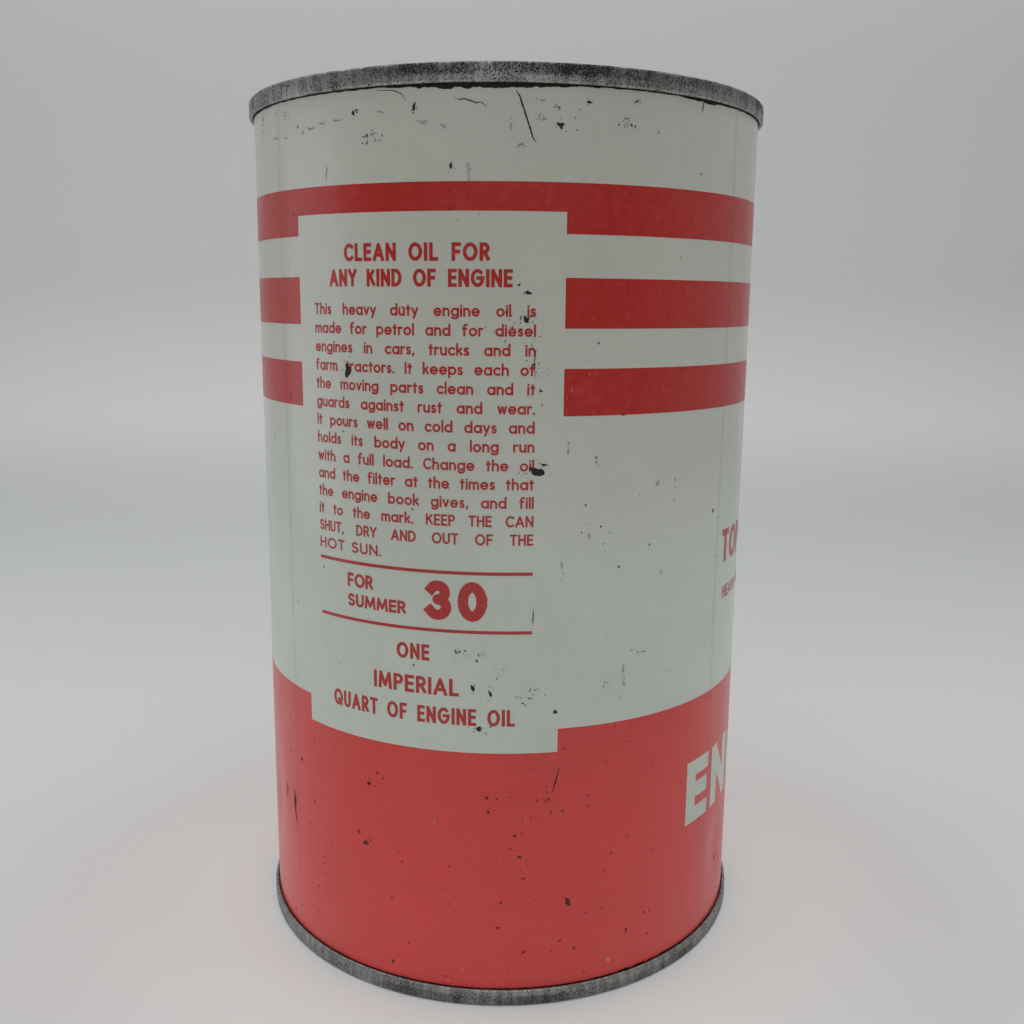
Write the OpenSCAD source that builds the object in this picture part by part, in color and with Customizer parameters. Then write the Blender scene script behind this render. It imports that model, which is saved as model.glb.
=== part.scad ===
// One-quart motor oil can: a soldered sheet-metal body with a double-seamed end at the top and at the bottom.
// Z is up, the origin is the centre of the circle that the can stands on, and the side seam faces +Y.

/* [Can] */
// Overall height over both double seams
can_h = 165.1; // [100:0.1:220]
// Inside diameter of the body
bore_d = 99; // [70:0.5:150]

/* [Plate] */
// Thickness of the body's plate
body_t = 0.27; // [0.24:0.01:0.28]
// Thickness of the ends' plate
end_t = 0.27; // [0.24:0.01:0.28]

/* [Double seam] */
// Height of a double seam
seam_h = 3.1; // [3:0.05:3.3]
// Length of the body's hook and of the end's hook
hook_h = 2; // [1.8:0.05:2.1]
// Gap between neighbouring layers of plate
seam_gap = 0.04; // [0.03:0.01:0.05]
// Outside radius of the crown's two corners
crown_r = 0.55; // [0.5:0.05:0.6]
// Depth of the sealing compound under the crown
compound_h = 0.15; // [0.1:0.01:0.2]

/* [End panel] */
// Depth of the countersink below the crown
countersink = 3.4; // [3.3:0.1:5]
// Width of the groove around the foot of the countersink
groove_w = 2.2; // [1.8:0.1:3]
// Height of the panel's raised rings above the groove
ring_rise = 0.8; // [0.5:0.1:1.2]
// Width of the outer raised ring
outer_ring_w = 3.5; // [2:0.5:5]
// Width of the flat between the two raised rings
ring_gap_w = 4.5; // [3:0.5:6]
// Width of the inner raised ring
inner_ring_w = 2; // [1.5:0.5:4]

/* [Side seam] */
// Width of the folded lock
lock_w = 3; // [2.5:0.1:4]
// Width of the solder-filled groove beside the lock
groove_s = 0.35; // [0.25:0.05:0.5]
// Gap between neighbouring layers of the lock
lock_gap = 0.03; // [0.02:0.01:0.05]
// Height of the stretch at each end of the can where the lock is notched away
notch_h = 8; // [6:0.5:15]
// Width of the solder strip on the outside
solder_w = 2.8; // [2:0.1:4]
// Height of the solder strip above the body
solder_t = 0.08; // [0.05:0.01:0.1]

/* [Hidden] */
$fn = 180;

bend_step = 10;          // angle between two points on a bend
panel_bend_r = 0.6;      // mid-plate radius of the panel's bends
step_w = 1;              // width of the slope between two levels of the panel
seam_angle = 90;         // direction of the side seam
fold_clearance = 0.13;   // room between a hook's edge and the fold that it sits in
strip_clearance = 0.3;   // room between the solder strip and a double seam

white_coat = [0.9, 0.9, 0.86];
tinplate = [0.55, 0.55, 0.56];
solder = [0.66, 0.66, 0.68];
compound = [0.35, 0.33, 0.3];

bore_r = bore_d / 2;
wall_r = bore_r + body_t;
body_mid_r = bore_r + body_t / 2;
chuck_r = bore_r - seam_gap - end_t / 2;
cover_hook_r = wall_r + seam_gap + end_t / 2;
body_hook_r = wall_r + 2 * seam_gap + end_t + body_t / 2;
seam_wall_r = wall_r + 3 * seam_gap + end_t + body_t + end_t / 2;
fold_r = (seam_wall_r - cover_hook_r) / 2 - 0.01;
body_top_y = -(end_t + compound_h + body_t / 2);

// Plane geometry. A path is a list of [x, y, bend radius], and its frames are
// [point on the mid-plate line, left normal].
function unit(v) = v / norm(v);
function xy(v) = [v.x, v.y];
function left(v) = [-v.y, v.x];
function turned(v, a) = [v.x * cos(a) - v.y * sin(a), v.x * sin(a) + v.y * cos(a)];
function bend(before, at, after) =
    let (u = unit(xy(at) - xy(before)),
         v = unit(xy(after) - xy(at)),
         turn = atan2(cross(u, v), u * v),
         start = xy(at) - u * at.z * abs(tan(turn / 2)),
         side = sign(turn),
         centre = start + left(u) * side * at.z,
         steps = max(1, ceil(abs(turn) / bend_step)))
    [for (i = [0 : steps])
        let (n = turned(left(u), turn * i / steps))
        [centre - n * side * at.z, n]];
function frames(path) =
    let (last = len(path) - 1)
    concat([[xy(path[0]), left(unit(xy(path[1]) - xy(path[0])))]],
           [for (i = [1 : last - 1]) each bend(path[i - 1], path[i], path[i + 1])],
           [[xy(path[last]), left(unit(xy(path[last]) - xy(path[last - 1])))]]);
function beside(fs, d) = [for (f = fs) f[0] + f[1] * d];
function reversed(list) = [for (i = [len(list) - 1 : -1 : 0]) list[i]];

module sheet(path, t) {
    fs = frames(path);
    polygon(concat(beside(fs, t / 2), reversed(beside(fs, -t / 2))));
}

// A double seam is drawn with its crown at height 0 and the can below it.
module at_seam(top) {
    if (top) translate([0, 0, can_h]) children();
    else mirror([0, 0, 1]) children();
}

// The body's plate from the end of its lock up over the flange and down its hook.
body_rim_path = [
    [body_mid_r, -notch_h, 0],
    [body_mid_r, body_top_y, fold_r],
    [body_hook_r, body_top_y, fold_r],
    [body_hook_r, -(end_t + compound_h + hook_h), 0]
];

// The end's plate from its hook around the seam, down the chuck wall
// and over the panel's rings to the centre.
groove_y = -(countersink + end_t / 2);
ring_y = groove_y + ring_rise;
groove_in = chuck_r - groove_w;
outer_ring_in = groove_in - step_w - outer_ring_w;
inner_ring_out = outer_ring_in - step_w - ring_gap_w;
inner_ring_in = inner_ring_out - step_w - inner_ring_w;
end_path = [
    [cover_hook_r, -(seam_h - hook_h), 0],
    [cover_hook_r, -(seam_h - end_t / 2), fold_r],
    [seam_wall_r, -(seam_h - end_t / 2), fold_r],
    [seam_wall_r, -end_t / 2, crown_r - end_t / 2],
    [chuck_r, -end_t / 2, crown_r - end_t / 2],
    [chuck_r, groove_y, panel_bend_r],
    [groove_in, groove_y, panel_bend_r],
    [groove_in - step_w, ring_y, panel_bend_r],
    [outer_ring_in, ring_y, panel_bend_r],
    [outer_ring_in - step_w, groove_y, panel_bend_r],
    [inner_ring_out, groove_y, panel_bend_r],
    [inner_ring_out - step_w, ring_y, panel_bend_r],
    [inner_ring_in, ring_y, panel_bend_r],
    [inner_ring_in - step_w, groove_y, panel_bend_r],
    [0, groove_y, 0]
];

// Side seam. Layer 0 is the body's wall and each further layer of the lock lies one plate further in.
// Places along the seam's width are lengths of arc from its middle, anticlockwise from above.
lock_h = can_h - 2 * notch_h;
lock_edge = lock_w / 2;
riser_s = lock_edge + groove_s;
function layer_r(k) = bore_r - k * (body_t + lock_gap);
function arc_angle(s) = s * 180 / (PI * wall_r);

module arc_band(r_in, r_out, s_from, s_to, h) {
    rotate_extrude(angle = arc_angle(s_to - s_from), start = seam_angle + arc_angle(s_from))
        translate([r_in, 0]) square([r_out - r_in, h]);
}

module lock_band(inner, outer, s_from, s_to) {
    translate([0, 0, notch_h])
        arc_band(layer_r(inner), layer_r(outer) + body_t, s_from, s_to, lock_h);
}

module lock_seam() {
    hook_room = body_t + fold_clearance;
    // the outer edge: folded in and back at the right of the lock
    lock_band(2, 2, hook_room - lock_edge, lock_edge);
    lock_band(2, 0, lock_edge - body_t, lock_edge);
    // the inner edge: folded out and back at the left, then brought up to the wall
    lock_band(1, 1, -lock_edge, lock_edge - hook_room);
    lock_band(3, 1, -lock_edge, body_t - lock_edge);
    lock_band(3, 3, -lock_edge, riser_s + body_t);
    lock_band(3, 0, riser_s, riser_s + body_t);
}

module can_body() {
    wall_arc = 2 * PI * wall_r - groove_s;
    color(white_coat) union() {
        at_seam(true) rotate_extrude() sheet(body_rim_path, body_t);
        at_seam(false) rotate_extrude() sheet(body_rim_path, body_t);
        lock_band(0, 0, riser_s, riser_s + wall_arc);
        lock_seam();
    }
}

module side_seam_solder() {
    strip_from = lock_edge + groove_s / 2 - solder_w / 2;
    strip_z = seam_h + strip_clearance;
    color(solder) union() {
        translate([0, 0, notch_h])
            arc_band(layer_r(3) + body_t, wall_r + solder_t, lock_edge, riser_s, lock_h);
        translate([0, 0, strip_z])
            arc_band(wall_r, wall_r + solder_t, strip_from, strip_from + solder_w, can_h - 2 * strip_z);
    }
}

module end(top) {
    color(tinplate) at_seam(top) rotate_extrude() sheet(end_path, end_t);
}

module seam_compound(top) {
    flange = beside(concat(bend(body_rim_path[0], body_rim_path[1], body_rim_path[2]),
                           bend(body_rim_path[1], body_rim_path[2], body_rim_path[3])), body_t / 2);
    crown = beside(concat(bend(end_path[2], end_path[3], end_path[4]),
                          bend(end_path[3], end_path[4], end_path[5])), end_t / 2);
    foot_y = flange[0].y;
    color(compound) at_seam(top) rotate_extrude()
        polygon(concat([[seam_wall_r - end_t / 2, foot_y]], crown, [[chuck_r + end_t / 2, foot_y]], flange));
}

module top_end() { end(true); }
module bottom_end() { end(false); }
module top_seam_compound() { seam_compound(true); }
module bottom_seam_compound() { seam_compound(false); }

can_body();
top_end();
bottom_end();
side_seam_solder();
top_seam_compound();
bottom_seam_compound();
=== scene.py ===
import math
import random

import bmesh
import bpy
from mathutils import Matrix, Vector, noise
from mathutils.geometry import delaunay_2d_cdt


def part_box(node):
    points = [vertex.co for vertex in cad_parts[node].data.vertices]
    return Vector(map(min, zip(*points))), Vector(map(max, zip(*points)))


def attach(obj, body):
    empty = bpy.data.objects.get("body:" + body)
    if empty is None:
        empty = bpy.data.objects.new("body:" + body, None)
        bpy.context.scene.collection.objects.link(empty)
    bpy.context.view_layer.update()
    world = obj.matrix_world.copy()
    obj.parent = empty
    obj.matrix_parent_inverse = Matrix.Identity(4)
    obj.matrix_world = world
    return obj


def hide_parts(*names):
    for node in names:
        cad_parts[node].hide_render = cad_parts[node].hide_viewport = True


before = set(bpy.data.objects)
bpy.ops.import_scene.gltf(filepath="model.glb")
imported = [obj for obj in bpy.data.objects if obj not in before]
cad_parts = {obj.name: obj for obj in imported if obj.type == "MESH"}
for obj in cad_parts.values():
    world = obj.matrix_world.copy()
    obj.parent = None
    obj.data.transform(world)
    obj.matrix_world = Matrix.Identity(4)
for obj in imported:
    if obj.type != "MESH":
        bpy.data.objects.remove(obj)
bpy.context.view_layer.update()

# The can is in millimetres and degrees, and MM turns it into metres. The textures and the studio are in
# metres. An angle of 0 faces the camera, along -Y, and angles grow towards +X. The side seam is at 180.
MM = 0.001
CAN_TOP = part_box("top_end")[1].z / MM
RIM_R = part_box("top_end")[1].x / MM
PLATE = 0.27
SEAM_GAP = 0.04
WALL_R = RIM_R - 3 * (PLATE + SEAM_GAP)
SEAM_H = 3.1
HOOK_H = 2
COMPOUND_H = 0.15
CROWN_R = 0.55
COUNTERSINK = 3.4

# How far each printed or worn layer stands off the wall's plate.
WHITE_LIFT = 0.015
RED_LIFT = 0.03
TEXT_LIFT = 0.05
MARK_LIFT = 0.065

# The printing
SEAM_MARGIN = 4.5
PANEL_FROM, PANEL_TO = -46.8, 11.5
PANEL_LOW, PANEL_HIGH = 49.5, 142.5
STRIPES = ((147.09, 139.03), (132.08, 123.88), (117.28, 109.37))
BAND_TOP, BAND_TOP_LEFT = 53.86, 54.7
PRINT_LOW, PRINT_HIGH = 2.4, CAN_TOP - 2.4

# The cells of the wall's mesh: how many go round it, and how high each is.
SEGMENTS = 288
ROW = 2


def arc(angle):
    """The length along the wall of an angle."""
    return math.radians(angle) * WALL_R


def angle_of(length):
    """The angle that a length along the wall takes up."""
    return math.degrees(length / WALL_R)


def smooth(value, low, high):
    """0 up to low and 1 from high, with an even curve between."""
    share = min(1, max(0, (value - low) / (high - low)))
    return share * share * (3 - 2 * share)


# ---- the wall's shape

# Each dent: its angle, height, half width, half height and depth.
DENTS = (
    (63, 17, 4, 7, 0.45), (-68, 27, 3, 9, 0.35), (-12, 118, 9, 7, 0.12), (38, 80, 14, 18, 0.18),
    (104, 132, 8, 10, 0.5), (-128, 60, 10, 14, 0.4), (158, 30, 7, 6, 0.45), (-95, 150, 6, 4, 0.35),
)
WAVE_DEPTH = 0.09
WAVES_ROUND = 1.7
WAVE_HEIGHT = 45
# The seams hold the wall round over their own height and, less and less, over this much more.
HELD = 8


def ring_spot(angle, r, z):
    """The place of noise on a ring, so that the noise meets itself at the back."""
    turn = math.radians(angle)
    return Vector((math.sin(turn) * r, math.cos(turn) * r, z))


def wall_offset(angle, z):
    """How far the wall lies outside a true cylinder: slow waves and dents, and none next to the seams."""
    offset = WAVE_DEPTH * noise.noise(ring_spot(angle, WAVES_ROUND, z / WAVE_HEIGHT))
    for dent_angle, dent_z, wide, tall, depth in DENTS:
        across = arc((angle - dent_angle + 180) % 360 - 180) / wide
        offset -= depth * math.exp(-across * across - ((z - dent_z) / tall) ** 2)
    return offset * smooth(z, SEAM_H, SEAM_H + HELD) * smooth(CAN_TOP - z, SEAM_H, SEAM_H + HELD)


def around(angle, r, z):
    """The point, in metres, at an angle, a radius and a height."""
    turn = math.radians(angle)
    return Vector((r * math.sin(turn), -r * math.cos(turn), z)) * MM


def on_wall(angle, z, lift):
    """The point at an angle and a height that stands off the wall's plate by lift."""
    return around(angle, WALL_R + wall_offset(angle, z) + lift, z)


# ---- meshes

# Edges sharper than this, in degrees, are shaded as edges.
SHARP = 35


def add_object(name, bm, material):
    """Makes a finished bmesh into a smoothly shaded object."""
    mesh = bpy.data.meshes.new(name)
    bm.to_mesh(mesh)
    bm.free()
    mesh.polygons.foreach_set("use_smooth", [True] * len(mesh.polygons))
    mesh.materials.append(material)
    thing = bpy.data.objects.new(name, mesh)
    bpy.context.scene.collection.objects.link(thing)
    return thing


def add_piece(name, bm, material):
    """Makes a bmesh into a piece of the can."""
    piece = add_object(name, bm, material)
    piece.data.set_sharp_from_angle(angle=math.radians(SHARP))
    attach(piece, "root")
    return piece


def add_solid(name, bm, material):
    """Makes a closed bmesh into a piece of the can."""
    bmesh.ops.recalc_face_normals(bm, faces=bm.faces)
    return add_piece(name, bm, material)


def add_film(name, bm, material):
    """Makes a bmesh into a thin layer on the wall, with its faces outwards."""
    for face in bm.faces:
        face.normal_update()
        middle = face.calc_center_median()
        if face.normal.dot(Vector((middle.x, middle.y, 0))) < 0:
            face.normal_flip()
    add_piece(name, bm, material)


def add_turned(bm, outline, shift):
    """Adds a closed outline of (radius, height) points, turned about Z, with each point's radius changed by
    shift(angle, radius, height). Points on the axis become one vertex."""
    rings = []
    for r, z in outline:
        if r < 1e-6:
            rings.append([bm.verts.new(Vector((0, 0, z)) * MM)] * SEGMENTS)
            continue
        angles = [360 * k / SEGMENTS - 180 for k in range(SEGMENTS)]
        rings.append([bm.verts.new(around(angle, r + shift(angle, r, z), z)) for angle in angles])
    for i, ring in enumerate(rings):
        after = rings[(i + 1) % len(rings)]
        for k in range(SEGMENTS):
            n = (k + 1) % SEGMENTS
            corners = []
            for vertex in (ring[k], ring[n], after[n], after[k]):
                if vertex not in corners:
                    corners.append(vertex)
            if len(corners) > 2:
                bm.faces.new(corners)


# A rounded corner has a point for each of this many degrees.
BEND_STEP = 8


def bend(before, corner, after, radius):
    """The points and left normals of a rounded corner on a path in the (radius, height) plane."""
    u = (corner - before).normalized()
    v = (after - corner).normalized()
    turn = math.atan2(u.x * v.y - u.y * v.x, u.dot(v))
    side = math.copysign(1, turn)
    left = Vector((-u.y, u.x))
    centre = corner - u * radius * abs(math.tan(turn / 2)) + left * side * radius
    steps = max(1, math.ceil(abs(math.degrees(turn)) / BEND_STEP))
    rounded = []
    for i in range(steps + 1):
        cos, sin = math.cos(turn * i / steps), math.sin(turn * i / steps)
        normal = Vector((left.x * cos - left.y * sin, left.x * sin + left.y * cos))
        rounded.append((centre - normal * side * radius, normal))
    return rounded


def plate_outline(path, thickness, spacing):
    """The closed outline of a bent plate. A path lists (radius, height, bend radius) along its middle."""
    points = [Vector(p[:2]) for p in path]
    frames = []
    for i, point in enumerate(points):
        if 0 < i < len(points) - 1:
            frames += bend(points[i - 1], point, points[i + 1], path[i][2])
        else:
            along = (points[1] - point if i == 0 else point - points[i - 1]).normalized()
            frames.append((point, Vector((-along.y, along.x))))
    filled = [frames[0]]
    for start, end in zip(frames, frames[1:]):
        pieces = max(1, math.ceil((end[0] - start[0]).length / spacing))
        for i in range(1, pieces + 1):
            share = i / pieces
            filled.append((start[0].lerp(end[0], share), start[1].lerp(end[1], share).normalized()))
    half = thickness / 2
    return [p + n * half for p, n in filled] + [p - n * half for p, n in reversed(filled)]


def add_block(bm, r_in, r_out, angle_from, angle_to, low, high):
    """Adds a closed block that follows the wall, two cells to a degree."""
    steps = max(2, math.ceil((angle_to - angle_from) * 2))
    rows = max(1, math.ceil((high - low) / ROW))
    grid = []
    for i in range(steps + 1):
        angle = angle_from + (angle_to - angle_from) * i / steps
        column = []
        for j in range(rows + 1):
            z = low + (high - low) * j / rows
            offset = wall_offset(angle, z)
            column += [bm.verts.new(around(angle, r + offset, z)) for r in (r_in, r_out)]
        grid.append(column)
    for a, b in zip(grid, grid[1:]):
        for j in range(rows):
            k = 2 * j
            bm.faces.new((a[k], b[k], b[k + 2], a[k + 2]))
            bm.faces.new((a[k + 1], b[k + 1], b[k + 3], a[k + 3]))
        bm.faces.new((a[0], b[0], b[1], a[1]))
        bm.faces.new((a[-2], b[-2], b[-1], a[-1]))
    for column in (grid[0], grid[-1]):
        for j in range(rows):
            k = 2 * j
            bm.faces.new((column[k], column[k + 1], column[k + 3], column[k + 2]))


# ---- the tinplate pieces

FOLD_R = 0.3
BODY_MID_R = WALL_R - PLATE / 2
CHUCK_R = WALL_R - PLATE - SEAM_GAP - PLATE / 2
COVER_HOOK_R = WALL_R + SEAM_GAP + PLATE / 2
BODY_HOOK_R = COVER_HOOK_R + SEAM_GAP + PLATE
SEAM_WALL_R = BODY_HOOK_R + SEAM_GAP + PLATE
FLANGE_DOWN = PLATE + COMPOUND_H + PLATE / 2
# The folded lock of the side seam: how far each layer runs to either side, from the wall in, the gap
# between the layers, and how far from the can's ends they stop.
LOCK_LAYERS = ((-1.1, 1.5), (-1.5, 1.1), (-1.5, 2.1))
LOCK_GAP = 0.03
LOCK_NOTCH = 8


def make_body(tinplate):
    """The body's sheet: a tube with a hook at each end, and the folded lock of its side seam inside."""
    hook_down = PLATE + COMPOUND_H + HOOK_H
    path = (
        (BODY_HOOK_R, CAN_TOP - hook_down, 0),
        (BODY_HOOK_R, CAN_TOP - FLANGE_DOWN, FOLD_R),
        (BODY_MID_R, CAN_TOP - FLANGE_DOWN, FOLD_R),
        (BODY_MID_R, FLANGE_DOWN, FOLD_R),
        (BODY_HOOK_R, FLANGE_DOWN, FOLD_R),
        (BODY_HOOK_R, hook_down, 0),
    )
    bm = bmesh.new()
    add_turned(bm, plate_outline(path, PLATE, ROW), lambda angle, r, z: wall_offset(angle, z))
    for k, (start, end) in enumerate(LOCK_LAYERS, 1):
        r_out = WALL_R - k * (PLATE + LOCK_GAP)
        seam = 180 - angle_of(end), 180 - angle_of(start)
        add_block(bm, r_out - PLATE, r_out, *seam, LOCK_NOTCH, CAN_TOP - LOCK_NOTCH)
    piece = add_solid("printed_can_body", bm, tinplate)
    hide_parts("can_body")


# The end's panel: the widths of its groove, ring, flat and inner ring, from the chuck wall in, the width of
# the slope after each, the height of the rings, and the bends.
PANEL_WIDTHS = (2.2, 3.5, 4.5, 2)
PANEL_SLOPE = 1
RING_H = 0.8
PANEL_BEND_R = 0.6


def end_path():
    """The middle of an end's plate, with its crown at height 0: hook, seaming wall, chuck wall and panel."""
    groove_y = -(COUNTERSINK + PLATE / 2)
    ring_y = groove_y + RING_H
    crown_bend = CROWN_R - PLATE / 2
    path = [
        (COVER_HOOK_R, HOOK_H - SEAM_H, 0),
        (COVER_HOOK_R, PLATE / 2 - SEAM_H, FOLD_R),
        (SEAM_WALL_R, PLATE / 2 - SEAM_H, FOLD_R),
        (SEAM_WALL_R, -PLATE / 2, crown_bend),
        (CHUCK_R, -PLATE / 2, crown_bend),
        (CHUCK_R, groove_y, PANEL_BEND_R),
    ]
    r = CHUCK_R
    level = groove_y
    for width in PANEL_WIDTHS:
        r -= width
        path.append((r, level, PANEL_BEND_R))
        r -= PANEL_SLOPE
        level = ring_y if level == groove_y else groove_y
        path.append((r, level, PANEL_BEND_R))
    return path + [(0, groove_y, 0)]


END_SPACING = 1.6
SEAM_WAVE = 0.045
SEAM_WAVES_ROUND = 9


def make_end(name, node, top, tinplate, seed):
    """One stamped end, with the small waves that the seaming rolls leave in its outer wall."""
    def seam_waves(angle, r, z):
        if r < SEAM_WALL_R - 0.2:
            return 0
        return SEAM_WAVE * noise.noise(ring_spot(angle, SEAM_WAVES_ROUND, seed + z / 2)) - 0.05

    outline = [(r, CAN_TOP + z if top else -z) for r, z in plate_outline(end_path(), PLATE, END_SPACING)]
    bm = bmesh.new()
    add_turned(bm, outline, seam_waves)
    piece = add_solid(name, bm, tinplate)
    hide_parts(node)


# The strip of solder: how far its middle is from the seam's line, half its width and how ragged that is,
# the height of its crown, how far its edge stands off the wall, and its thickness there.
SOLDER_ASIDE = 1.675
SOLDER_HALF = 1.25
SOLDER_RAGGED = 0.14
SOLDER_CROWN = 0.055
SOLDER_LIFT = 0.005
SOLDER_EDGE = 0.004
SOLDER_COLUMNS, SOLDER_ROWS = 10, 240


def make_solder(material):
    """The strip of solder along the side seam, with its ragged edges and uneven crown."""
    low, high = SEAM_H + 0.3, CAN_TOP - SEAM_H - 0.3
    bm = bmesh.new()
    grid = []
    for j in range(SOLDER_ROWS + 1):
        z = low + (high - low) * j / SOLDER_ROWS
        line = []
        for i in range(SOLDER_COLUMNS + 1):
            side = 2 * i / SOLDER_COLUMNS - 1
            ragged = noise.noise(Vector((side * 2, 7, z / 2.5)))
            angle = 180 - angle_of(SOLDER_ASIDE) + side * angle_of(SOLDER_HALF + SOLDER_RAGGED * ragged)
            crown = SOLDER_CROWN * (1 - side * side) * (1 + 0.5 * noise.noise(Vector((side, 3, z / 4))))
            line.append(bm.verts.new(on_wall(angle, z, SOLDER_LIFT + crown)))
        grid.append(line)
    for a, b in zip(grid, grid[1:]):
        for i in range(SOLDER_COLUMNS):
            bm.faces.new((a[i], a[i + 1], b[i + 1], b[i]))
    back = bmesh.ops.extrude_face_region(bm, geom=bm.faces[:])
    for vertex in (g for g in back["geom"] if isinstance(g, bmesh.types.BMVert)):
        flat = Vector((vertex.co.x, vertex.co.y, 0))
        vertex.co -= flat.normalized() * SOLDER_EDGE * MM
    piece = add_solid("side_seam_solder_strip", bm, material)
    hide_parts("side_seam_solder")


# ---- printing

def lines(low, high, step, breaks):
    """Grid lines from low to high, evenly spaced, with a line at each break."""
    count = round((high - low) / step)
    even = [low + (high - low) * i / count for i in range(count + 1)]
    kept = [v for v in even if all(abs(v - b) > step * 0.3 for b in breaks)]
    return sorted(set(kept) | set(b for b in breaks if low <= b <= high))


PRINT_ANGLES = lines(-180 + SEAM_MARGIN, 180 - SEAM_MARGIN, 360 / SEGMENTS, [PANEL_FROM, PANEL_TO])
EDGES = [PANEL_LOW, PANEL_HIGH, BAND_TOP, BAND_TOP_LEFT] + [edge for stripe in STRIPES for edge in stripe]
PRINT_ROWS = lines(PRINT_LOW, PRINT_HIGH, ROW, EDGES)


def in_panel(angle, z):
    return PANEL_FROM < angle < PANEL_TO and PANEL_LOW < z < PANEL_HIGH


def is_red(angle, z):
    band_top = BAND_TOP_LEFT if angle < PANEL_FROM else BAND_TOP
    striped = z < band_top or any(low < z < high for high, low in STRIPES)
    return striped and not in_panel(angle, z)


def print_layer(name, lift, material, inked):
    """A film of ink over every cell of the print grid that inked(angle, height) says yes to."""
    bm = bmesh.new()
    vertices = {}

    def vertex(i, j):
        if (i, j) not in vertices:
            vertices[i, j] = bm.verts.new(on_wall(PRINT_ANGLES[i], PRINT_ROWS[j], lift))
        return vertices[i, j]

    for i in range(len(PRINT_ANGLES) - 1):
        for j in range(len(PRINT_ROWS) - 1):
            angle, z = (PRINT_ANGLES[i] + PRINT_ANGLES[i + 1]) / 2, (PRINT_ROWS[j] + PRINT_ROWS[j + 1]) / 2
            if inked(angle, z):
                bm.faces.new((vertex(i, j), vertex(i + 1, j), vertex(i + 1, j + 1), vertex(i, j + 1)))
    add_film(name, bm, material)


# ---- lettering

def bow(x, y, wide, tall, start, end):
    """Points along an oval, from one angle to another, with 0 to the right and 90 up, 18 degrees apart."""
    steps = max(3, math.ceil(abs(end - start) / 18))
    turns = [math.radians(start + (end - start) * i / steps) for i in range(steps + 1)]
    return [(x + wide * math.cos(t), y + tall * math.sin(t)) for t in turns]


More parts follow.
